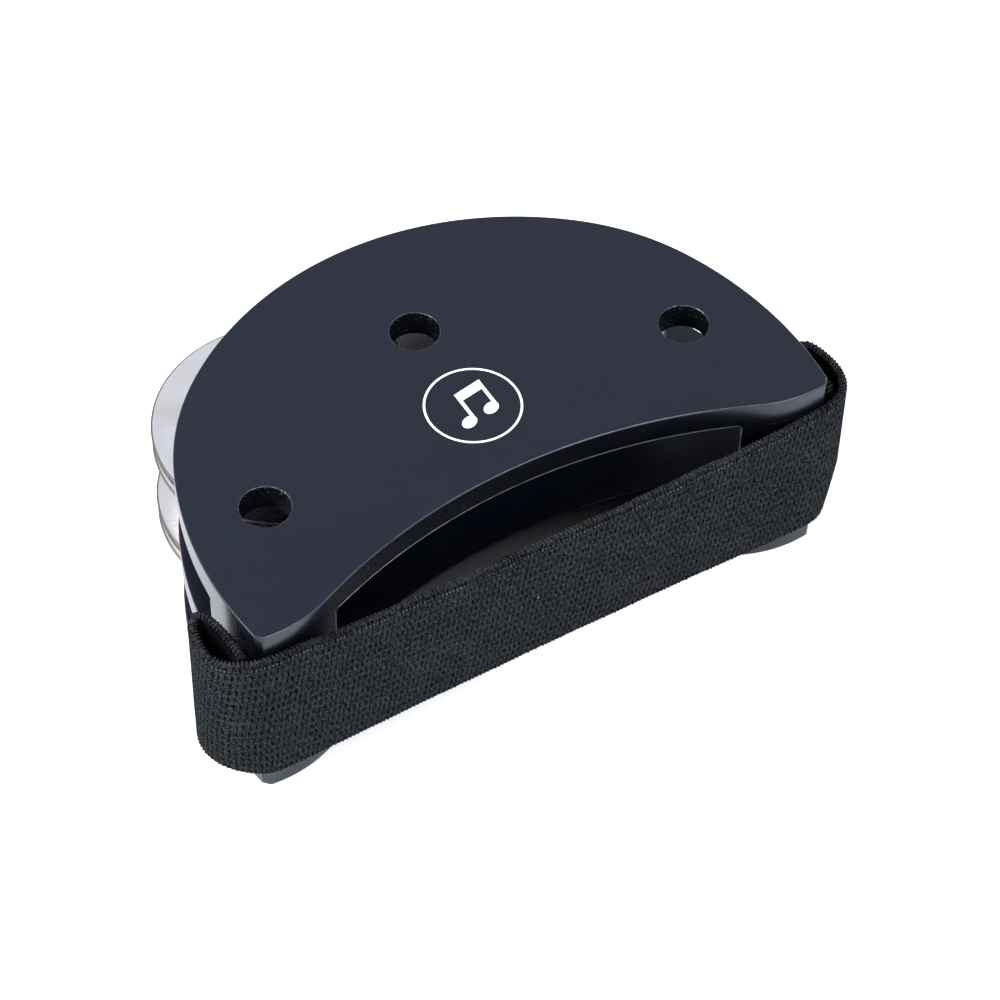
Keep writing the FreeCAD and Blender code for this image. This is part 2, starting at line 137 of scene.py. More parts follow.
def smooth_run(run):
    """An open run of points, evened out and rid of the facets of its tessellation."""
    along = lengths_along(run)
    count = max(2, int(round(along[-1] / OUTLINE_SPACING)))
    run = points_at(np.linspace(0, along[-1], count + 1), along, run)
    for _ in range(8):
        run[1:-1] = (run[:-2] + 2 * run[1:-1] + run[2:]) / 4
    return run


def unit(vectors):
    return vectors / np.linalg.norm(vectors, axis=1)[:, None]


def outward(loop):
    """Unit normals of a closed loop, to the right of its direction."""
    tangent = unit(np.roll(loop, -1, axis=0) - np.roll(loop, 1, axis=0))
    return np.stack([tangent[:, 1], -tangent[:, 0]], axis=1)


def lengths_along(line):
    """Distance along a line from its first point to each of its points."""
    return np.concatenate([[0], np.linalg.norm(np.diff(line, axis=0), axis=1).cumsum()])


def points_at(wanted, known, line):
    """Points of a flat line at the wanted places, when the places of its own points are known."""
    return np.stack([np.interp(wanted, known, line[:, axis]) for axis in range(2)], axis=1)


# ---- building meshes

def add_object(name, data):
    made = bpy.data.objects.new(name, data)
    bpy.context.scene.collection.objects.link(made)
    return made


def new_object(name, mesh, materials, replaced=None, body="frame", place=(0, 0, 0)):
    """A piece that rides a body and wears the given materials. It may replace a CAD node."""
    piece = add_object(name, mesh)
    for material in materials:
        mesh.materials.append(material)
    piece.location = Vector(place) * MM
    bpy.context.view_layer.update()
    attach(piece, body)
    if replaced:
        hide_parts(replaced)
    return piece


def mesh_from(name, points_mm, faces, sharp_angle=None):
    """A smooth mesh whose faces all look outward."""
    mesh = bpy.data.meshes.new(name)
    mesh.from_pydata((np.asarray(points_mm) * MM).tolist(), [], faces)
    mesh.validate()
    mesh.shade_smooth()
    if sharp_angle is not None:
        mesh.set_sharp_from_angle(angle=math.radians(sharp_angle))
    bm = bmesh.new()
    bm.from_mesh(mesh)
    bmesh.ops.recalc_face_normals(bm, faces=bm.faces)
    bm.to_mesh(mesh)
    bm.free()
    return mesh


def even_normals(piece):
    """Let large faces set the normals, so that flat faces look flat up to their eased edges."""
    modifier = piece.modifiers.new("even_normals", "WEIGHTED_NORMAL")
    modifier.keep_sharp = True
    modifier.weight = 90


def grid_faces(rows, columns, closed_rows=False, closed_columns=False):
    """Quads of a grid of points that are numbered row by row."""
    faces = []
    for row in range(rows if closed_rows else rows - 1):
        here, above = row * columns, (row + 1) % rows * columns
        for column in range(columns if closed_columns else columns - 1):
            beside = (column + 1) % columns
            faces.append((here + column, here + beside, above + beside, above + column))
    return faces


def end_caps(count, sides):
    """The first and last rings of a tube, as faces that look away from it."""
    return [tuple(range(sides))[::-1], tuple(range(count - sides, count))]


def lathe(profile, segments, closed=False):
    """Points and faces of a profile of (radius, height) pairs turned about Z."""
    profile = np.array(profile)
    angles = np.linspace(0, 2 * math.pi, segments, endpoint=False)
    points = np.concatenate([
        np.stack([radius * np.cos(angles), radius * np.sin(angles), np.full(segments, height)], axis=1)
        for radius, height in profile])
    return points, grid_faces(len(profile), segments, closed_rows=closed, closed_columns=True)


def sweep(path, radius, sides, up):
    """A closed-ended tube along a path of points in millimetres."""
    path = np.asarray(path, float)
    tangent = unit(np.gradient(path, axis=0))
    side = np.cross(tangent, up)
    side /= np.linalg.norm(side, axis=1)[:, None] + 1e-12
    over = np.cross(side, tangent)
    angles = np.linspace(0, 2 * math.pi, sides, endpoint=False)
    points = np.concatenate([
        centre + radius * (np.cos(angles)[:, None] * across + np.sin(angles)[:, None] * above)
        for centre, across, above in zip(path, side, over)])
    return points, grid_faces(len(path), sides, closed_columns=True) + end_caps(len(points), sides)


def combine(parts):
    """One list of points and faces out of several."""
    points, faces, count = [], [], 0
    for part_points, part_faces in parts:
        points.append(part_points)
        faces.extend(tuple(index + count for index in face) for face in part_faces)
        count += len(part_points)
    return np.concatenate(points), faces


ARC_STEPS = 4
BEAD_STEPS = 7
BEAD_HEIGHT = 0.34


def wall_rings(low, high, ease_low, ease_high, rows, lip=0.35, bead=None):
    """Inset and height of each ring of a wall, from its lower lip to its upper lip.

    The easings are radii in millimetres, one for each point round the wall. The bead is how far
    paint stands out in a ridge just above the lower rim, for each point too.
    """
    rings = [(ease_low + lip, np.full_like(ease_low, low))]
    for angle in np.linspace(0, math.pi / 2, ARC_STEPS + 1):
        rings.append((ease_low * (1 - math.sin(angle)), low + ease_low * (1 - math.cos(angle))))
    bottom = low + ease_low
    top = high - ease_high
    if bead is not None:
        for share in np.linspace(0, 1, BEAD_STEPS + 2)[1:]:
            rings.append((-bead * math.sin(math.pi * share) ** 2, bottom + share * BEAD_HEIGHT))
        bottom = bottom + BEAD_HEIGHT
    for share in np.linspace(0, 1, rows + 2)[1:-1]:
        rings.append((np.zeros_like(ease_low), bottom + share * (top - bottom)))
    for angle in np.linspace(math.pi / 2, 0, ARC_STEPS + 1):
        rings.append((ease_high * (1 - math.sin(angle)), high - ease_high * (1 - math.cos(angle))))
    rings.append((ease_high + lip, np.full_like(ease_high, high)))
    return rings


# ---- materials

def new_material(name, **sockets):
    """A Principled material. Keyword names are socket names with underscores for spaces."""
    material = bpy.data.materials.new(name)
    material.use_nodes = True
    shader = material.node_tree.nodes["Principled BSDF"]
    for key, value in sockets.items():
        shader.inputs[key.replace("_", " ")].default_value = value
    return material, material.node_tree, shader


def node(tree, kind, links=None, **settings):
    """A new node, with its properties set and its inputs linked or given values."""
    made = tree.nodes.new(kind)
    for key, value in settings.items():
        setattr(made, key, value)
    for key, source in (links or {}).items():
        socket = made.inputs[key]
        if isinstance(source, bpy.types.NodeSocket):
            tree.links.new(source, socket)
        else:
            socket.default_value = source
    return made


def math_node(operation, *values):
    """One step of arithmetic on numbers and sockets. At least one of the values is a socket."""
    tree = next(value.id_data for value in values if isinstance(value, bpy.types.NodeSocket))
    return node(tree, "ShaderNodeMath", dict(enumerate(values)), operation=operation).outputs[0]


def times(first, second):
    return math_node("MULTIPLY", first, second)


def plus(first, second):
    return math_node("ADD", first, second)


def minus(first, second):
    return math_node("SUBTRACT", first, second)


def absolute(value):
    return math_node("ABSOLUTE", value)


def along_axis(vector, axis):
    return node(vector.id_data, "ShaderNodeSeparateXYZ", {0: vector}).outputs[axis]


def vector_of(x, y=0.0):
    return node(x.id_data, "ShaderNodeCombineXYZ", {"X": x, "Y": y}).outputs[0]


def stored(tree, name):
    return node(tree, "ShaderNodeAttribute", attribute_name=name).outputs["Fac"]


def ramp(value, low, high, to_low=0.0, to_high=1.0):
    """The value mapped from one range to another, clamped."""
    links = {"Value": value, "From Min": low, "From Max": high, "To Min": to_low, "To Max": to_high}
    return node(value.id_data, "ShaderNodeMapRange", links).outputs["Result"]


def mix_colour(factor, first, second):
    links = {"Factor": factor, 6: first, 7: second}
    return node(factor.id_data, "ShaderNodeMix", links, data_type="RGBA").outputs[2]


def noise_value(vector, scale, detail=2.0, roughness=0.5):
    links = {"Vector": vector, "Scale": scale, "Detail": detail, "Roughness": roughness}
    return node(vector.id_data, "ShaderNodeTexNoise", links).outputs["Fac"]


def object_place(tree):
    return node(tree, "ShaderNodeTexCoord").outputs["Object"]


def stretched(tree, scale, turn=0.0):
    """A place in the object for a pattern that is turned about Z, then scaled along each axis."""
    links = {"Vector": object_place(tree), "Rotation": (0, 0, turn), "Scale": scale}
    return node(tree, "ShaderNodeMapping", links).outputs[0]


def finish_shader(shader, colour, roughness, height, strength, depth):
    """Link a surface's colour, its roughness unless that is None, and bumps up to a depth in metres."""
    bump = node(
        shader.id_data, "ShaderNodeBump", {"Strength": strength, "Distance": depth, "Height": height})
    sockets = {"Base Color": colour, "Roughness": roughness, "Normal": bump.outputs["Normal"]}
    for name, source in sockets.items():
        if source is not None:
            shader.id_data.links.new(source, shader.inputs[name])


def painted_board(name, gloss):
    """Satin black paint over fibreboard: fine orange peel, faint mottling, small chips on the rims, a
    painted sky reflection on level faces and painted highlight lines along rims and edges.
    """
    material, tree, shader = new_material(
        name, IOR=1.46, Specular_Tint=(0.76, 0.84, 1.0, 1.0), Specular_IOR_Level=gloss)
    place = object_place(tree)
    normal = node(tree, "ShaderNodeNewGeometry").outputs["Normal"]
    flat = ramp(absolute(along_axis(normal, "Z")), 0.75, 0.98)
    mottle = noise_value(place, 60.0, 4.0)
    # Level faces get a bluer, lighter base than walls: a painted reflection of the bluish sky.
    level_colour_painted_sky = mix_colour(mottle, (0.0010, 0.0018, 0.0062, 1), (0.0016, 0.0025, 0.0080, 1))
    wall_colour = mix_colour(mottle, (0.0009, 0.0013, 0.0024, 1), (0.0014, 0.0019, 0.0032, 1))
    colour = mix_colour(flat, wall_colour, level_colour_painted_sky)
    dust = node(tree, "ShaderNodeTexVoronoi", {"Vector": place, "Scale": 320.0})
    speck = ramp(dust.outputs["Distance"], 0.045, 0.02)
    rare = ramp(noise_value(place, 210.0), 0.66, 0.70)
    speck = times(times(speck, rare), flat)
    colour = mix_colour(times(speck, 0.25), colour, (0.10, 0.11, 0.13, 1))
    chip = ramp(noise_value(place, 1100.0, 3.0, 0.6), 0.715, 0.75)
    chip = times(chip, ramp(stored(tree, "rim"), 0.3, 0.9))
    colour = mix_colour(chip, colour, (0.12, 0.12, 0.12, 1))
    # Painted highlight: light lines along eased rims, the paint bead, hole lips and block edges, broken
    # up by noise.
    thin = stored(tree, "painted_rim_highlight")
    highlight_line_colour = mix_colour(ramp(thin, 1.0, 2.0), (0.085, 0.095, 0.110, 1), (0.36, 0.38, 0.40, 1))
    broken_highlight = ramp(noise_value(place, 420.0, 3.0), 0.34, 0.60, 0.30, 1.0)
    thin = times(ramp(thin, 0.25, 0.9), broken_highlight)
    colour = mix_colour(thin, colour, highlight_line_colour)
    satin = ramp(flat, 0.0, 1.0, 0.25, 0.40)
    uneven = ramp(noise_value(place, 90.0), 0.3, 0.7, -0.02, 0.02)
    satin = plus(plus(satin, uneven), times(chip, 0.3))
    peel = noise_value(place, 1100.0)
    fibre = noise_value(stretched(tree, (1.0, 1.0, 3.5)), 700.0, 4.0, 0.7)
    peel = times(peel, ramp(flat, 0.0, 1.0, 0.12, 0.6))
    fibre = times(fibre, ramp(flat, 0.0, 1.0, 0.02, 0.05))
    height = minus(plus(peel, fibre), times(chip, 6.0))
    finish_shader(shader, colour, satin, height, 0.35, 0.010 * MM)
    return material


def sawn_bore():
    """Wall of a drilled hole: ragged fibres under a thin coat of paint, with painted glints here and
    there, more of them near the hole's mouth.
    """
    material, tree, shader = new_material("drilled_fibreboard", IOR=1.45, Specular_IOR_Level=0.08)
    place = object_place(tree)
    grain = noise_value(place, 1500.0, 5.0, 0.75)
    lump = node(tree, "ShaderNodeTexVoronoi", {"Vector": place, "Scale": 2100.0}).outputs["Distance"]
    colour = mix_colour(ramp(grain, 0.35, 0.75), (0.0004, 0.0006, 0.0012, 1), (0.0020, 0.0030, 0.0048, 1))
    # Painted glints: light flecks, more of them towards the hole's mouth where light falls in.
    glints_near_mouth = ramp(along_axis(place, "Z"), 43.0 * MM, 45.7 * MM, 0.0, 0.075)
    painted_glint = ramp(plus(noise_value(place, 2300.0), glints_near_mouth), 0.70, 0.74)
    colour = mix_colour(painted_glint, colour, (0.075, 0.090, 0.100, 1))
    rough = ramp(grain, 0.3, 0.7, 0.75, 0.45)
    height = plus(grain, times(lump, 0.8))
    finish_shader(shader, colour, rough, height, 0.9, 0.22 * MM)
    return material


CUT_EDGE_START = 26.05 * MM


def nickel_plate():
    """Spun steel sheet with bright nickel: concentric tool lines, light smudges and fine scratches."""
    material, tree, shader = new_material("bright_nickel", Metallic=1.0)
    place = object_place(tree)
    flat_place = node(tree, "ShaderNodeVectorMath", {0: place, 1: (1, 1, 0)}, operation="MULTIPLY")
    length = node(tree, "ShaderNodeVectorMath", {0: flat_place.outputs[0]}, operation="LENGTH")
    radius = length.outputs["Value"]
    rings = noise_value(vector_of(radius), 5200.0, 3.0, 0.7)
    smudge = noise_value(place, 130.0, 4.0, 0.6)
    scratch_place = stretched(tree, (1.0, 14.0, 1.0), turn=0.6)
    scratch = ramp(noise_value(scratch_place, 620.0), 0.70, 0.76)
    worn = ramp(smudge, 0.35, 0.7)
    colour = mix_colour(worn, (0.87, 0.835, 0.845, 1), (0.78, 0.735, 0.725, 1))
    tarnish = ramp(noise_value(place, 55.0, 3.0, 0.55), 0.58, 0.74, 0.0, 0.35)
    colour = mix_colour(tarnish, colour, (0.50, 0.42, 0.34, 1))
    cut = ramp(radius, CUT_EDGE_START, CUT_EDGE_START + 0.1 * MM)
    colour = mix_colour(cut, colour, (0.14, 0.125, 0.115, 1))
    rough = ramp(smudge, 0.3, 0.75, 0.17, 0.27)
    rough = plus(plus(rough, times(scratch, 0.12)), times(cut, 0.30))
    height = plus(rings, times(scratch, 0.8))
    finish_shader(shader, colour, rough, height, 0.35, 0.008 * MM)
    return material


def drawn_steel(name, tone, roughness):
    """Drawn wire: fine lengthwise lines and dull patches."""
    material, tree, shader = new_material(name, Metallic=1.0)
    lines = noise_value(stretched(tree, (1, 1, 0.06)), 5000.0, 3.0, 0.6)
    patch = noise_value(object_place(tree), 350.0, 3.0)
    dull = tuple(channel * 0.62 for channel in tone)
    colour = mix_colour(patch, (*tone, 1), (*dull, 1))
    rough = ramp(patch, 0.3, 0.7, roughness, roughness + 0.16)
    finish_shader(shader, colour, rough, lines, 0.4, 0.02 * MM)
    return material


def printed_white():
    """Screen print: dense white ink, a little thin in places."""
    material, tree, shader = new_material("white_print", IOR=1.45)
    place = object_place(tree)
    thin = ramp(noise_value(place, 900.0, 4.0, 0.7), 0.56, 0.72)
    colour = mix_colour(thin, (0.80, 0.84, 0.87, 1), (0.62, 0.67, 0.72, 1))
    rough = ramp(thin, 0.0, 1.0, 0.42, 0.55)
    finish_shader(shader, colour, rough, noise_value(place, 2500.0), 0.4, 0.01 * MM)
    return material


COURSE_SHIFT = 0.25
STRAP_COURSES = 16
KNOT_ROW = 0.60
KNOTS_PER_RIB = 1.5


def stitch_gap(across, along):
    """1 in the short gaps between ribs, painted dark as shade, 0 on the ribs. Each course is shifted a
    little.
    """
    course = math_node("FLOOR", across)
    rib_place = vector_of(along, across)
    wobble = ramp(noise_value(rib_place, 1.1), 0.3, 0.7, -0.16, 0.16)
    rib = plus(math_node("MULTIPLY_ADD", course, COURSE_SHIFT, along), wobble)
    drift = ramp(noise_value(rib_place, 0.45, 1.0), 0.3, 0.7, -0.12, 0.12)
    beside = absolute(minus(math_node("FRACT", rib), 0.5))
    within = minus(math_node("FRACT", across), 0.5)
    within = absolute(plus(within, drift))
    cell = vector_of(math_node("FLOOR", rib), course)
    chance = node(cell.id_data, "ShaderNodeTexWhiteNoise", {"Vector": cell}).outputs["Value"]
    depth = ramp(chance, 0.0, 0.6, 0.55, 1.0)
    gap = times(ramp(beside, 0.31, 0.43), ramp(within, 0.36, 0.26))
    return times(gap, depth)


def from_knot_row(across, courses):
    """Distance, in courses, from the row of small knots that runs under the strap's upper edge."""
    return absolute(minus(minus(courses, across), KNOT_ROW))


def woven_elastic(name, top, painted_shade_colour, warm, courses=None):
    """Black elastic. Its UV map counts ribs along the strap and courses across it. Gaps between ribs, low
    parts of the weave and a furrow by the knot row are painted darker as shade.
    """
    material, tree, shader = new_material(
        name, Roughness=0.9, Sheen_Weight=0.006, Sheen_Roughness=0.4, Specular_IOR_Level=0.012)
    stitch = node(tree, "ShaderNodeUVMap", uv_map="stitch").outputs["UV"]
    parts = node(tree, "ShaderNodeSeparateXYZ", {0: stitch})
    along, across = parts.outputs["X"], parts.outputs["Y"]
    gap = stitch_gap(across, along)
    slanted = math_node("MULTIPLY_ADD", across, 5.2, times(along, 5.0))
    strand_place = vector_of(slanted, times(across, 2.4))
    streak = ramp(noise_value(strand_place, 1.0, 2.0, 0.6), 0.38, 0.66)
    place = object_place(tree)
    # Fine specks: partly yarn fuzz, partly painted glints on the yarn.
    fuzz_and_glint = ramp(noise_value(place, 4800.0), 0.36, 0.66)
    streak = times(math_node("MULTIPLY_ADD", streak, 0.97, 0.03),
                   math_node("MULTIPLY_ADD", fuzz_and_glint, 1.20, 0.12))
    # Painted shade: low parts of the weave and the gaps between ribs are darker.
    relief_shade = math_node("MULTIPLY_ADD", stored(tree, "relief"), 0.35, 0.65)
    level = times(times(streak, relief_shade), minus(1.0, gap))
    if courses:
        row = from_knot_row(across, courses)
        # Painted shade: a dark furrow along the knot row.
        furrow_shade = times(ramp(row, 0.42, 0.24), 0.45)
        level = times(level, minus(1.0, furrow_shade))
    colour = mix_colour(level, (*painted_shade_colour, 1), (*top, 1))
    patch = noise_value(place, 120.0, 3.0)
    hue = times(ramp(patch, 0.45, 0.66), level)
    colour = mix_colour(times(hue, 0.7), colour, (*warm, 1))
    if courses:
        beat = math_node("SINE", times(along, 2 * math.pi * KNOTS_PER_RIB))
        knot = times(ramp(row, 0.20, 0.08), ramp(beat, -0.3, 0.5))
        uneven = ramp(noise_value(place, 520.0), 0.36, 0.62, 0.10, 0.75)
        colour = mix_colour(times(knot, uneven), colour, (0.095, 0.098, 0.120, 1))
    lint = node(tree, "ShaderNodeTexVoronoi", {"Vector": place, "Scale": 260.0})
    chosen = ramp(along_axis(lint.outputs["Color"], "X"), 0.93, 0.94)
    lint = times(ramp(lint.outputs["Distance"], 0.085, 0.05), chosen)
    colour = mix_colour(times(lint, 0.8), colour, (0.22, 0.23, 0.24, 1))
    height = minus(times(streak, 0.8), gap)
    finish_shader(shader, colour, None, height, 0.75, 0.22 * MM)
    return material


PAINT = painted_board("satin_black_paint", 0.5)
# A duller copy of the paint for the middle and bottom boards' open hollow walls: overspray, and painted
# shade where the top board and strap shade them.
OVERSPRAY_AND_SHADE = painted_board("dull_overspray_and_painted_shade", 0.10)
BORE = sawn_bore()
NICKEL = nickel_plate()
PIN_STEEL = drawn_steel("pin_steel_finish", (0.58, 0.57, 0.56), 0.28)
STAPLE_STEEL = drawn_steel("staple_wire_finish", (0.50, 0.50, 0.50), 0.38)
INK = printed_white()
ELASTIC = woven_elastic(
    "elastic_weave", (0.052, 0.058, 0.062), (0.0003, 0.0004, 0.0005), (0.045, 0.047, 0.064),
    courses=STRAP_COURSES)
# A darker, purple-brown copy of the weave for the band's inner face; its darkness is painted shade.
ELASTIC_INSIDE_SHADED = woven_elastic(
    "elastic_weave_inside_shaded", (0.018, 0.013, 0.018), (0.0005, 0.0004, 0.0005), (0.026, 0.012, 0.016))
ELASTIC_YARN = woven_elastic(
    "elastic_edge_yarn", (0.085, 0.092, 0.104), (0.0008, 0.0009, 0.0011), (0.066, 0.070, 0.090))


# ---- boards and end blocks

RIM_EASE = 0.34
SLOT_EASE = 0.26
FLUSH = 0.015
CORNER_EASE = 0.7
BLOCK_CORNER_EASE = 0.36
HOLE_SEGMENTS = 96
BEAD_OUT = 0.09
# The rim, edge and hole line values among these set painted highlight lines and their reach.
RIM_HIGHLIGHT = 0.55
LIP_DEPTH = 0.24
BLOCK_HIGHLIGHT_REACH = 0.5
BLOCK_EDGE_HIGHLIGHT = 2.6
INNER_RIM_HIGHLIGHT = 0.45
BLOCK_FADE = 0.5
HOLE_EASE = 0.22
HOLE_ROUGHNESS = 0.07
HOLE_RIM_HIGHLIGHT = 0.52
PIN_HOLE_EASE = 0.05
SOUND_HOLE_OVER = 4
PIN_HEAD_THICKNESS = 1.2


def hole_ring(loop):
    """Centre and radius of a round hole, and clockwise points round it."""
    centre = (loop.min(axis=0) + loop.max(axis=0)) / 2
    radius = np.linalg.norm(loop - centre, axis=1).mean()
    angles = np.linspace(0, -2 * math.pi, HOLE_SEGMENTS, endpoint=False)
    return centre, radius, centre + radius * np.stack([np.cos(angles), np.sin(angles)], axis=1)


def in_block(points, row):
    """From 0 over an open slot to 1 over an end block, for points of the outline."""
    share = np.zeros(len(points))
    for side in SIDES:
        label = f"{row}_spacer_{side}"
        loop = anticlockwise(flat_loops(label, levels(label)[0])[0])
        start, end = block_wall(loop)
        wall = end - start
        normal = np.array([wall[1], -wall[0]]) / np.linalg.norm(wall)
        if np.dot(loop.mean(axis=0) - start, normal) < 0:
            normal = -normal
        share = np.maximum(share, np.clip((points - start) @ normal / BLOCK_FADE + 0.5, 0, 1))
    return share


def hollow_side(points):
    """1 on the hollow front of the outline, 0 on its rounded back, for points of the outline."""
    return (outward(points)[:, 1] < -0.45).astype(float)


def block_wall(loop):
    """The ends of an end block's straight inner wall, which is its longest straight edge."""
    step = np.roll(loop, -1, axis=0) - loop
    first = int(np.argmax(np.linalg.norm(step, axis=1)))
    return loop[first], loop[(first + 1) % len(loop)]


class Board:
    """Collects the rings of a board's walls, then fills its two faces."""

    def __init__(self):
        self.bm = bmesh.new()
        self.rim = self.bm.verts.layers.float.new("rim")
        # Strength of painted highlight at each point.
        self.thin = self.bm.verts.layers.float.new("painted_rim_highlight")
        self.lower, self.upper = [], []

    def wall(self, loop, rings, material=0, rough=0.0, close_top=False, thin=None,
             painted_above=math.inf, dull=None):
        """Add a wall. The loop is anticlockwise round material and clockwise round a hole.

        Faces take the third material where dull is over a half.
        """
        normal = outward(loop)
        count = len(loop)
        made = []
        for inset, height in rings:
            uneven = inset + rough * rng.uniform(-1, 1, count) * (inset < 0.3) if rough else inset
            flat = loop - normal * uneven[:, None]
            ring = [self.bm.verts.new(Vector((*point, level)) * MM) for point, level in zip(flat, height)]
            # Painted highlight strength of each point of the ring.
            painted_highlight = thin(inset, height) if thin else np.zeros(count)
            for vertex, depth, value in zip(ring, inset, painted_highlight):
                vertex[self.rim] = 1.0 if 0.0 < depth < RIM_EASE + 0.05 else 0.0
                vertex[self.thin] = value
            made.append(ring)
        for below, above, (_, height) in zip(made, made[1:], rings):
            for index in range(count):
                after = (index + 1) % count
                face = self.bm.faces.new((below[index], below[after], above[after], above[index]))
                face.material_index = 0 if height[index] >= painted_above else material
                # The third material is the duller copy of the paint: overspray and painted shade.
                if dull is not None and min(dull[index], dull[after]) > 0.5:
                    face.material_index = 2
        self.lower.append(made[0])
        if close_top:
            self.bm.faces.new(made[-1]).material_index = material
        else:
            self.upper.append(made[-1])

    def fill(self, rings):
        edges = [self.bm.edges.get(ends) for ring in rings for ends in zip(ring, ring[1:] + ring[:1])]
        bmesh.ops.triangle_fill(self.bm, edges=edges, use_beauty=True)

    def finish(self, name, materials, replaced):
        self.fill(self.lower)
        self.fill(self.upper)
        bmesh.ops.recalc_face_normals(self.bm, faces=self.bm.faces)
        mesh = bpy.data.meshes.new(name)
        self.bm.to_mesh(mesh)
        self.bm.free()
        mesh.shade_smooth()
        mesh.set_sharp_from_angle(angle=math.radians(40))
        even_normals(new_object(name, mesh, materials, replaced))


def recess_steps(low, floor, wider):
    """Rings of a pin head's recess, from its eased mouth to its floor, wider than the hole above it."""
    steps = [(0.25, low), (0.1, low), (0.0, low + 0.1), (0.0, floor - 0.02), (-0.05, floor)]
    return [(wider + out, np.full_like(wider, height)) for out, height in steps]


def add_hole(board, which, loop):
    """Wall of a sound hole, or of a pin's hole: blind in the top board, recessed in the bottom one."""
    label = f"{which}_plate"
    low, high = levels(label)
    pin_low, pin_high = levels("jingle_pin_left")
    centre, radius, ring = hole_ring(loop)
    slight = np.full(len(ring), HOLE_EASE)
    tight = np.full(len(ring), PIN_HOLE_EASE)
    if radius > SOUND_HOLE_OVER:
        # The hole's upper lip gets a painted highlight line.
        board.wall(
            ring, wall_rings(low, high, slight, slight, rows=16, lip=0.2), 1, rough=HOLE_ROUGHNESS,
            painted_above=high - LIP_DEPTH,
            thin=lambda inset, height: HOLE_RIM_HIGHLIGHT * (height > high - 0.15) * (inset < 0.19))
    elif which == "top":
        rings = wall_rings(low, pin_high, tight, tight, rows=1, lip=0.2)
        board.wall(ring, rings[:-2], 1, close_top=True)
    elif which == "middle":
        board.wall(ring, wall_rings(low, high, tight, tight, rows=1, lip=0.2), 1)
    else:
        recesses = [hole_ring(other) for other in flat_loops(label, low)[1:]]
        head = min(recesses, key=lambda other: np.linalg.norm(other[0] - centre))[1]
        floor = pin_low + PIN_HEAD_THICKNESS
        start = recess_steps(low, floor, np.full(len(ring), head - radius))
        board.wall(ring, start + wall_rings(floor, high, tight, tight, rows=1, lip=0.0)[1:], 1)


def make_board(which, low_row, high_row):
    """A half-moon board. Its rims are eased, except where an end block meets it flush."""
    label = f"{which}_plate"
    low, high = levels(label)
    # the face that the CAD leaves with sharp edges has the full outline
    loops = flat_loops(label, low if which == "top" else high)
    outline = refine(loops[0], CORNER_EASE)
    hollow = hollow_side(outline)
    open_hollow = hollow * (1 - in_block(outline, high_row or low_row))
    eases = [
        SLOT_EASE + (FLUSH - SLOT_EASE) * in_block(outline, row) if row
        else np.full(len(outline), RIM_EASE)
        for row in (low_row, high_row)]
    board = Board()
    if which == "top":
        rings = wall_rings(low, high, *eases, rows=3, bead=BEAD_OUT * open_hollow)
        # Painted highlight along the paint bead, stronger on the left, and along the upper rim on the
        # hollow side.
        bead_highlight = open_hollow * np.interp(outline[:, 0], (-45, 0, 45), (1.7, 1.0, 0.5))
        rim_highlight = RIM_HIGHLIGHT * hollow
        board.wall(outline, rings, thin=lambda inset, height: np.maximum(
            bead_highlight * (inset < -0.4 * BEAD_OUT),
            rim_highlight * (height > high - 0.6 * RIM_EASE) * (inset < 0.7 * RIM_EASE)))
    else:
        # A faint painted highlight along the upper rim where the hollow is open.
        rim_highlight = INNER_RIM_HIGHLIGHT * open_hollow
        # These open hollow walls take the duller copy of the paint, overspray and painted shade.
        board.wall(
            outline, wall_rings(low, high, *eases, rows=3), dull=open_hollow,
            thin=lambda inset, height: rim_highlight * (
                height > high - 0.6 * SLOT_EASE) * (inset < 0.7 * SLOT_EASE))
    for loop in loops[1:]:
        add_hole(board, which, loop)
    board.finish(f"{which}_board", [PAINT, BORE, OVERSPRAY_AND_SHADE], label)


def make_block(row, side):
    """Solid end of a slot, flush with the boards above and below it."""
    label = f"{row}_spacer_{side}"
    low, high = levels(label)
    loop = flat_loops(label, low)[0]
    outline = refine(loop, BLOCK_CORNER_EASE)
    flush = np.full(len(outline), FLUSH)
    front = min(block_wall(loop), key=lambda point: point[1])
    # A painted highlight down the block's front edge.
    near = np.clip(1 - np.linalg.norm(outline - front, axis=1) / BLOCK_HIGHLIGHT_REACH, 0, 1)
    board = Board()
    board.wall(outline, wall_rings(low, high, flush, flush, rows=4, lip=0.3),
               thin=lambda inset, height: BLOCK_EDGE_HIGHLIGHT * near * (inset <= FLUSH))
    board.finish(f"{row}_end_block_{side}", [PAINT], label)


make_board("top", "upper", None)
make_board("middle", "lower", "upper")
make_board("bottom", None, "lower")
for side in SIDES:
    for row in ROWS:
        make_block(row, side)


# ---- jingles and pins

JINGLE_SHEET = 0.6
DOME_RADIUS = 16.0
DOME_HEIGHT = 4.8
DOME_HOLE = 3.5
FILLET = 0.22
SHY = 0.02
JINGLE_SEGMENTS = 128
PIN_SEGMENTS = 48
GRIP_RINGS = 5


def soft_step(value):
    """Rises smoothly from 0 to follow the value, which rounds the foot of the dome."""
    return FILLET * np.logaddexp(0, value / FILLET)


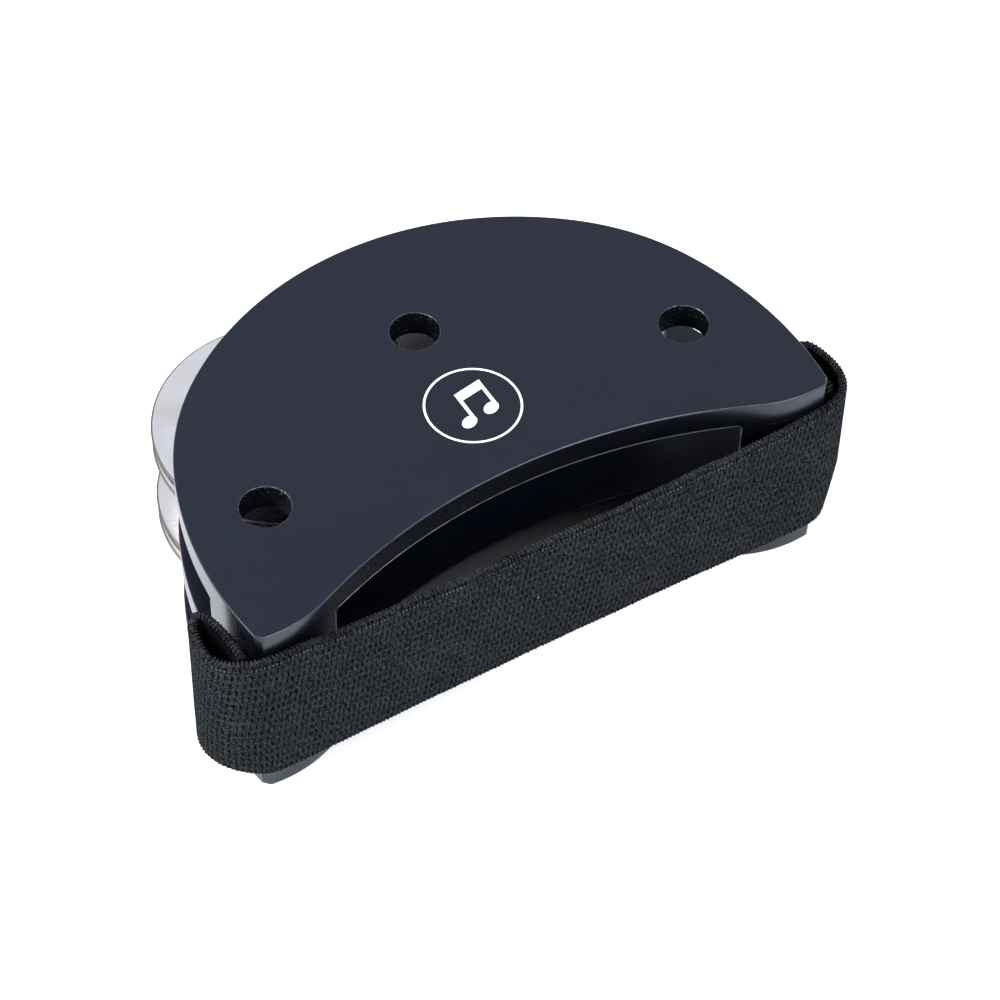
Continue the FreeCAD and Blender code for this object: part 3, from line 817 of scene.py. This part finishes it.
def jingle_profile(rim):
    """Closed profile of a dome-up jingle, its underside rim at height 0."""
    def dome(radius, offset):
        return DOME_HEIGHT - DOME_RADIUS + np.sqrt((DOME_RADIUS - offset) ** 2 - radius ** 2)

    edge = JINGLE_SHEET / 2 - SHY
    across = np.concatenate([
        np.linspace(DOME_HOLE + 0.2, 9, 12), np.linspace(9.6, 13, 10), np.linspace(14, rim - edge, 12)])
    dome_edge = DOME_RADIUS - JINGLE_SHEET - 0.3
    top = [(r, JINGLE_SHEET + soft_step(dome(min(r, 15.5), 0) - JINGLE_SHEET) - SHY) for r in across]
    under = [
        (r, soft_step(dome(r, JINGLE_SHEET)) + SHY if r < dome_edge else SHY) for r in across]
    edge_arc = [
        (rim - edge - SHY + edge * math.cos(angle), JINGLE_SHEET / 2 + edge * math.sin(angle))
        for angle in np.linspace(math.pi / 2, -math.pi / 2, 9)[1:-1]]
    lip_under, lip_top = under[0][1], top[0][1]
    lip = [
        (DOME_HOLE + 0.06, lip_under + 0.10), (DOME_HOLE + SHY, lip_under + 0.25),
        (DOME_HOLE + SHY, lip_top - 0.15), (DOME_HOLE + 0.07, lip_top - 0.02)]
    return top + edge_arc + under[::-1] + lip


def make_jingle(row, side, member):
    """One jingle. The bottom one of a pair lies dome down and the top one dome up."""
    label = f"jingle_{row}_{side}_{member}"
    low, high = box_mm(label)
    centre = (low + high) / 2
    points, faces = lathe(jingle_profile((high[0] - low[0]) / 2), JINGLE_SEGMENTS, closed=True)
    base = low[2]
    if member == "bottom":
        points[:, 1:] = -points[:, 1:]
        base = high[2]
    mesh = mesh_from(label, points, faces, 50)
    place = (centre[0], centre[1], base)
    new_object(f"{label}_disc", mesh, [NICKEL], label, body=label, place=place)


def make_pin(side):
    """A wire nail: low domed head, grip rings under it and a blunt point."""
    label = f"jingle_pin_{side}"
    low, high = box_mm(label)
    centre = (low + high) / 2
    head = (high[0] - low[0]) / 2
    length = high[2] - low[2]
    shank = 1.5 - SHY
    profile = [
        (0.01, 0.02), (head * 0.6, 0.03), (head - 0.35, 0.12), (head - 0.1, 0.3), (head, 0.55),
        (head - 0.05, 0.95), (head - 0.25, PIN_HEAD_THICKNESS), (shank + 0.15, PIN_HEAD_THICKNESS)]
    for base in np.arange(GRIP_RINGS) * 0.8 + 1.6:
        profile += [
            (shank, base), (shank - 0.09, base + 0.2), (shank - 0.09, base + 0.4), (shank, base + 0.6)]
    profile += [(shank, level) for level in np.linspace(6, length - 0.6, 12)]
    profile += [(shank - 0.2, length - 0.35), (shank - 0.5, length - 0.08), (0.01, length - 0.02)]
    points, faces = lathe(profile, PIN_SEGMENTS)
    faces += end_caps(len(points), PIN_SEGMENTS)
    mesh = mesh_from(label, points + [centre[0], centre[1], low[2]], faces, 40)
    new_object(f"{label}_nail", mesh, [PIN_STEEL], label)


for side in SIDES:
    for row in ROWS:
        for member in ("bottom", "top"):
            make_jingle(row, side, member)
    make_pin(side)


# ---- elastic strap

STRAP_HALF = 0.68
STRAP_RELIEF = 0.18
RIB_PITCH = 1.17
SAMPLES_ALONG = 4
SAMPLES_ACROSS = 6
INNER_ROWS = 46
EDGE_YARN_RADIUS = 0.17
EDGE_SPREAD = 0.76
EDGE_RISE = 0.24
EDGE_TURNS = 1.4
EDGE_INSET = 0.52
YARN_STEPS = 12
YARN_SIDES = 6
BOTTOM_LEAN = 0.7
WAIST_DEPTH = 2.1
WAIST_CENTRE = 6.0
WAIST_HALF = 58.0
FREE_SPAN_HALF = 62.0
CORNER_TUCK = 2.1
CORNER_REACH = 9.0
SIDE_BULGE = {-1: 0.5, 1: -0.7}


def spline(controls, count):
    """Points of a clamped cubic B-spline, evenly spaced along it."""
    controls = np.array(controls, float)
    controls = np.concatenate([controls[:1], controls[:1], controls, controls[-1:], controls[-1:]])
    pieces = []
    for index in range(len(controls) - 3):
        t = np.linspace(0, 1, 40, endpoint=False)[:, None]
        p0, p1, p2, p3 = controls[index:index + 4]
        pieces.append((
            (1 - t) ** 3 * p0 + (3 * t ** 3 - 6 * t ** 2 + 4) * p1
            + (-3 * t ** 3 + 3 * t ** 2 + 3 * t + 1) * p2 + t ** 3 * p3) / 6)
    dense = np.concatenate([*pieces, controls[-1:]])
    along = lengths_along(dense)
    return points_at(np.linspace(0, along[-1], count), along, dense), along[-1]


def strap_controls():
    """Control points of the strap's middle line, seen from above, from its right end to its left end.

    Each is a place out from the outer run and a depth back from the front run.
    """
    low, high = box_mm("elastic_strap")
    outer = high[0] - 0.8
    front = low[1] + 0.8
    half = [
        (-4.5, 4.1), (-4.5, 6.6), (-4.3, 9.6), (-3.9, 12.6), (-3.4, 15.0), (-2.5, 16.6), (-1.3, 16.2),
        (-0.2, 14.2), (0.4, 11.7), (0.6, 9.2), (0.3, 6.6), (-0.7, 4.1), (-2.6, 2.0), (-5.4, 0.7),
        (-8.8, 0.1), (-14, 0), (-26, 0), (-48, 0)]
    line = []
    for sign, points in ((1, half), (-1, half[::-1])):
        for out, depth in points:
            loose = SIDE_BULGE[sign] * max(0.0, 1 - abs(out) / 4.5)
            line.append((sign * (outer + out + loose), front + depth))
        if sign > 0:
            line.append((0, front))
    return line


def stitch_relief(along, across):
    """Height, from 0 to 1, of ribs with short strokes between them. Both places count in stitches."""
    course = np.floor(across)
    rib = along + COURSE_SHIFT * course
    beside = np.abs(rib - np.floor(rib) - 0.5)
    within = np.abs(across - course - 0.5)
    return 1 - np.clip((beside - 0.2) / 0.2, 0, 1) * np.clip((0.4 - within) / 0.14, 0, 1)


def strap_lean(x, share):
    """How far the strap's lower edge curls back where it hangs free between the tips."""
    free = np.cos(np.clip(np.abs(x) / FREE_SPAN_HALF, 0, 1) * math.pi / 2)
    return free * BOTTOM_LEAN * max(0.0, 1 - 2 * share) ** 2


def strap_waist(x, share):
    """How far the stretch draws the strap down, nothing at its lower edge and most at its upper one."""
    away = np.clip(np.abs(x - WAIST_CENTRE) / WAIST_HALF, 0, 1)
    return WAIST_DEPTH * (1 - away ** 3) * share


def corner_tuck(path):
    """How far each column's lower edge is drawn in round the tips, for its full tuck."""
    count = len(path)
    reach = CORNER_REACH / np.linalg.norm(path[1] - path[0])
    tuck = np.zeros(count)
    place = np.arange(count) / count
    for sign in SIDES.values():
        corner = np.array([sign * np.abs(path[:, 0]).max(), path[:, 1].min()])
        distance = np.linalg.norm(path - corner, axis=1)
        distance[(place < 0.1) | (place > 0.9)] = np.inf
        nearest = int(np.argmin(distance))
        tuck = np.maximum(tuck, np.exp(-((np.arange(count) - nearest) / reach) ** 2 * 2))
    return CORNER_TUCK * tuck


class StrapLine:
    """The strap's middle line, seen from above, and what varies along it."""

    def __init__(self):
        self.ribs = round(spline(strap_controls(), 100)[1] / RIB_PITCH)
        self.columns = self.ribs * SAMPLES_ALONG + 1
        self.path, self.length = spline(strap_controls(), self.columns)
        tangent = unit(np.gradient(self.path, axis=0))
        # the outer face is on the side that points forward on the front run
        self.side = np.stack([-tangent[:, 1], tangent[:, 0]], axis=1)
        if self.side[self.columns // 2][1] > 0:
            self.side = -self.side
        self.place = np.linspace(0, 1, self.columns)
        self.tuck = corner_tuck(self.path)
        self.wave = 0.16 * np.sin(self.place * 41.0) + 0.10 * np.sin(self.place * 97.0 + 1.3)


def strap_row(line, share, face, low, width):
    """Points and relief of one row of the band, at a share of its width, on one of its faces."""
    from_edge = min(share, 1 - share) * width
    round_off = math.sqrt(max(0.0, 1 - max(0.0, 1 - from_edge / 0.7) ** 2))
    bumps = stitch_relief(line.place * line.ribs, np.full(line.columns, share * STRAP_COURSES))
    thick = face * (STRAP_HALF * (0.25 + 0.75 * round_off) + STRAP_RELIEF * bumps * round_off)
    height = low + 0.25 + share * (width - 0.5) + line.wave * (0.3 + 0.7 * share)
    height = height - strap_waist(line.path[:, 0], share)
    flat = line.path + line.side * thick[:, None]
    flat[:, 0] -= np.sign(line.path[:, 0]) * line.tuck * max(0.0, 1 - 2.6 * share) ** 1.2
    flat[:, 1] += strap_lean(line.path[:, 0], share)
    return np.concatenate([flat, height[:, None]], axis=1), bumps


def make_band(line, low, width):
    """The woven band: its outer face, then its plainer inner face, which wears the darker copy of the
    weave as painted shade.
    """
    outer_rows = np.linspace(0, 1, STRAP_COURSES * SAMPLES_ACROSS + 1)
    inner_rows = np.linspace(1, 0, INNER_ROWS)
    sections = [(share, 1) for share in outer_rows] + [(share, -1) for share in inner_rows]
    points, relief = zip(*[strap_row(line, share, face, low, width) for share, face in sections])
    rows = len(sections)
    courses = [share * STRAP_COURSES for share, _ in sections]
    uvs = np.stack([np.tile(line.place * line.ribs, rows), np.repeat(courses, line.columns)], axis=1)
    faces = grid_faces(rows, line.columns, closed_rows=True)
    for end in (0, line.columns - 1):
        faces.append(tuple(row * line.columns + end for row in range(rows)))
    mesh = mesh_from("elastic_strap_band", np.concatenate(points), faces)
    add_values(mesh, np.concatenate(relief), uvs)
    faces_a_row = line.columns - 1
    # The inner face takes the darker copy of the weave: painted shade.
    for polygon in mesh.polygons[len(outer_rows) * faces_a_row:(rows - 1) * faces_a_row]:
        polygon.material_index = 1
    return new_object(mesh.name, mesh, [ELASTIC, ELASTIC_INSIDE_SHADED], "elastic_strap")


def make_edge_yarn(line, name, level, sign):
    """Yarn wound round one edge of the band. The sign is 1 for the upper edge, -1 for the lower."""
    turns = round(line.ribs * EDGE_TURNS)
    count = turns * YARN_STEPS + 1
    fine = np.linspace(0, 1, count)
    base = points_at(fine, line.place, line.path)
    base[:, 1] += strap_lean(base[:, 0], 1.0 if sign > 0 else 0.0)
    angle = 2 * math.pi * turns * fine
    loose = 1 + 0.10 * np.interp(fine * turns, np.arange(turns + 2), rng.uniform(-1, 1, turns + 2))
    wave = np.interp(fine, line.place, line.wave) * (1.0 if sign > 0 else 0.3)
    rise = level + wave + sign * EDGE_RISE * loose * np.sin(angle)
    if sign > 0:
        rise -= strap_waist(base[:, 0], 1.0)
    else:
        base[:, 0] -= np.sign(base[:, 0]) * np.interp(fine, line.place, line.tuck)
    spread = EDGE_SPREAD * loose * np.cos(angle)
    base = base + points_at(fine, line.place, line.side) * spread[:, None]
    helix = np.concatenate([base, rise[:, None]], axis=1)
    points, faces = sweep(helix, EDGE_YARN_RADIUS, YARN_SIDES, up=(0.05, 0.08, 0.99))
    mesh = mesh_from(f"strap_edge_yarn_{name}", points, faces)
    round_yarn = np.tile(np.arange(YARN_SIDES) / YARN_SIDES, count)
    uvs = np.stack([np.repeat(fine * turns, YARN_SIDES), round_yarn], axis=1)
    # Painted shade: each turn of yarn is lightest at the band's very edge and darkest where it runs back
    # against the band.
    add_values(mesh, np.repeat(0.55 + 0.45 * np.sin(angle), YARN_SIDES), uvs)
    return new_object(mesh.name, mesh, [ELASTIC_YARN])


def make_strap():
    low, high = levels("elastic_strap")
    width = high - low
    line = StrapLine()
    band = make_band(line, low, width)
    yarns = [
        make_edge_yarn(line, name, level, sign)
        for name, level, sign in (("upper", high - EDGE_INSET, 1), ("lower", low + EDGE_INSET, -1))]


def add_values(mesh, relief, uvs):
    """Store each point's height in the weave, and its place counted in stitches."""
    attribute = mesh.attributes.new("relief", "FLOAT", "POINT")
    attribute.data.foreach_set("value", np.asarray(relief, np.float32))
    layer = mesh.uv_layers.new(name="stitch")
    corner = np.zeros(len(mesh.loops), np.int32)
    mesh.loops.foreach_get("vertex_index", corner)
    layer.data.foreach_set("uv", np.asarray(uvs, np.float32)[corner].ravel())


make_strap()


# ---- staples

CROWN_SUNK = 0.80
CROWN_HALF = 5.0
WIRE_RADIUS = 0.42
BEND_RADIUS = 0.8
LEG_SHARE = 0.86


def make_staples(side):
    """Two wire staples with rounded shoulders. Their legs are driven into the end blocks."""
    label = f"strap_staples_{side}"
    low, high = box_mm(label)
    sign = SIDES[side]
    leg_x, crown_x = (low[0], high[0] - CROWN_SUNK) if sign > 0 else (high[0], low[0] + CROWN_SUNK)
    depth = (low[1] + high[1]) / 2
    reach = CROWN_HALF - 0.6
    parts = []
    for row in ROWS:
        middle = sum(levels(f"{row}_spacer_{side}")) / 2
        route = []
        for end in (-1, 1):
            shares = np.linspace(0, LEG_SHARE, 8)
            leg = [(leg_x + (crown_x - leg_x) * share, end * reach) for share in shares]
            bend = [
                (crown_x - sign * BEND_RADIUS * (1 - math.sin(angle)),
                 end * (reach - BEND_RADIUS * (1 - math.cos(angle))))
                for angle in np.linspace(0.2, math.pi / 2, 6)]
            route.append(leg + bend)
        path = [(x, depth, middle + z) for x, z in route[0] + route[1][::-1]]
        parts.append(sweep(path, WIRE_RADIUS, 10, up=(0, 1, 0)))
    mesh = mesh_from(label, *combine(parts), 50)
    new_object(f"{label}_wire", mesh, [STAPLE_STEEL], label)


for side in SIDES:
    make_staples(side)


# ---- emblem

EMBLEM_DEPTH_FROM_FRONT = 30.0
EMBLEM_RADIUS = 9.47
EMBLEM_LINE = 0.45
PRINT_THICKNESS = 0.05
EMBLEM_SEGMENTS = 160
NOTE_HALF_GAP = 2.75
STEM_WIDTH = 0.72


def flat_prism(outline, low, high):
    """A thin solid with an upright wall round a flat outline."""
    count = len(outline)
    points = [(*point, height) for height in (low, high) for point in outline]
    faces = grid_faces(2, count, closed_columns=True)
    return np.array(points), faces + end_caps(len(points), count)


def note_outlines():
    """Outlines of two note heads, their stems and the beam that joins them."""
    tilt = math.radians(24)
    spin = np.array([[math.cos(tilt), math.sin(tilt)], [-math.sin(tilt), math.cos(tilt)]])
    angles = np.linspace(0, 2 * math.pi, 40, endpoint=False)
    head_long, head_short = 1.75, 1.28
    ellipse = np.stack([head_long * np.cos(angles), head_short * np.sin(angles)], axis=1)
    shapes = []
    for across, rise in ((-NOTE_HALF_GAP, -3.4), (NOTE_HALF_GAP, -2.3)):
        shapes.append(ellipse @ spin + [across, rise])
        right = across + head_long * 0.92
        left = right - STEM_WIDTH
        shapes.append(np.array([
            (left, rise + 0.2), (right, rise + 0.2), (right, rise + 7.2), (left, rise + 7.0)]))
    left = -NOTE_HALF_GAP + head_long * 0.92 - STEM_WIDTH
    slope = 1.1
    shapes.append(np.array([(left, 1.9), (right, 1.9 + slope), (right, 4.1 + slope), (left, 4.1)]))
    return shapes


def merged(parts):
    """One mesh out of overlapping solids, which are used up."""
    for other in parts[1:]:
        union = parts[0].modifiers.new("join", "BOOLEAN")
        union.operation = "UNION"
        union.solver = "EXACT"
        union.object = other
    graph = bpy.context.evaluated_depsgraph_get()
    mesh = bpy.data.meshes.new_from_object(parts[0].evaluated_get(graph))
    for solid in parts:
        bpy.data.objects.remove(solid)
    mesh.materials.clear()
    mesh.shade_flat()
    return mesh


def make_emblem():
    """A printed ring round a pair of joined notes, a plain musical sign."""
    top = levels("top_plate")[1]
    front = box_mm("elastic_strap")[0][1] + 1.9
    centre = np.array([0, front + EMBLEM_DEPTH_FROM_FRONT])
    low, high = top - 0.02, top + PRINT_THICKNESS
    inner, outer = EMBLEM_RADIUS - EMBLEM_LINE / 2, EMBLEM_RADIUS + EMBLEM_LINE / 2
    band = [(inner, low), (outer, low), (outer, high - 0.01), (outer - 0.02, high),
            (inner + 0.02, high), (inner, high - 0.01)]
    points, faces = lathe(band, EMBLEM_SEGMENTS, closed=True)
    ring = mesh_from("emblem_ring_print", points + [*centre, 0], faces, 40)
    parts = []
    for number, shape in enumerate(note_outlines()):
        name = f"sign_part_{number}"
        parts.append(add_object(name, mesh_from(name, *flat_prism(shape + centre, low, high))))
    notes = merged(parts)
    notes.name = "emblem_notes_print"
    for mesh in (ring, notes):
        new_object(mesh.name, mesh, [INK])


make_emblem()


# ---- floor, lights and camera

FLOOR_HALF = 30.0


def make_floor():
    mesh = bpy.data.meshes.new("floor")
    corners = [(x * FLOOR_HALF, y * FLOOR_HALF, 0) for x, y in ((-1, -1), (1, -1), (1, 1), (-1, 1))]
    mesh.from_pydata(corners, [], [(0, 1, 2, 3)])
    floor = add_object("floor", mesh)
    floor.location.z = -0.00005
    material, _, _ = new_material(
        "pale_floor", Base_Color=(0.88, 0.885, 0.89, 1), Roughness=0.7,
        Emission_Color=(0.97, 0.98, 1.0, 1), Emission_Strength=0.3)
    mesh.materials.append(material)


def soft_light(name, place, target, size, power, colour):
    light = bpy.data.lights.new(name, "AREA")
    light.shape = "RECTANGLE"
    light.size, light.size_y = size
    light.energy = power
    light.color = colour
    lamp = add_object(name, light)
    lamp.location = place
    lamp.rotation_euler = (Vector(target) - Vector(place)).to_track_quat("-Z", "Y").to_euler()
    lamp.visible_camera = False


def make_camera():
    """The photograph's view: from the left and in front, half way up, rolled a little."""
    azimuth, elevation, roll = (math.radians(angle) for angle in (-32.04, 49.87, 1.45))
    target = Vector((2.50, -16.96, 23.0)) * MM
    distance = 694.7 * MM
    level_share = math.cos(elevation)
    back = Vector((
        math.sin(azimuth) * level_share, -math.cos(azimuth) * level_share, math.sin(elevation)))
    level = Vector((math.cos(azimuth), math.sin(azimuth), 0))
    upward = back.cross(level)
    right = math.cos(roll) * level + math.sin(roll) * upward
    upward = back.cross(right)
    camera = add_object("camera", bpy.data.cameras.new("camera"))
    camera.data.sensor_width = 36.0
    camera.data.lens = 126.7
    camera.data.clip_start = 0.01
    camera.data.clip_end = 50.0
    turn = Matrix((right, upward, back)).transposed().to_4x4()
    camera.matrix_world = Matrix.Translation(target + back * distance) @ turn
    bpy.context.scene.camera = camera


def make_world():
    world = bpy.data.worlds.new("studio")
    world.use_nodes = True
    background = world.node_tree.nodes["Background"]
    background.inputs["Color"].default_value = (0.87, 0.925, 1.0, 1)
    background.inputs["Strength"].default_value = 0.89
    bpy.context.scene.world = world


make_floor()
make_world()
soft_light("front_light", (0.25, -1.1, 0.75), (0, -0.02, 0.03), (0.62, 0.42), 15, (1.0, 0.99, 0.97))
soft_light("left_light", (-1.0, 0.3, 0.9), (-0.25, 0.1, 0.0), (0.8, 0.8), 30, (0.98, 0.99, 1.0))
make_camera()
bpy.context.scene.view_settings.view_transform = "Standard"
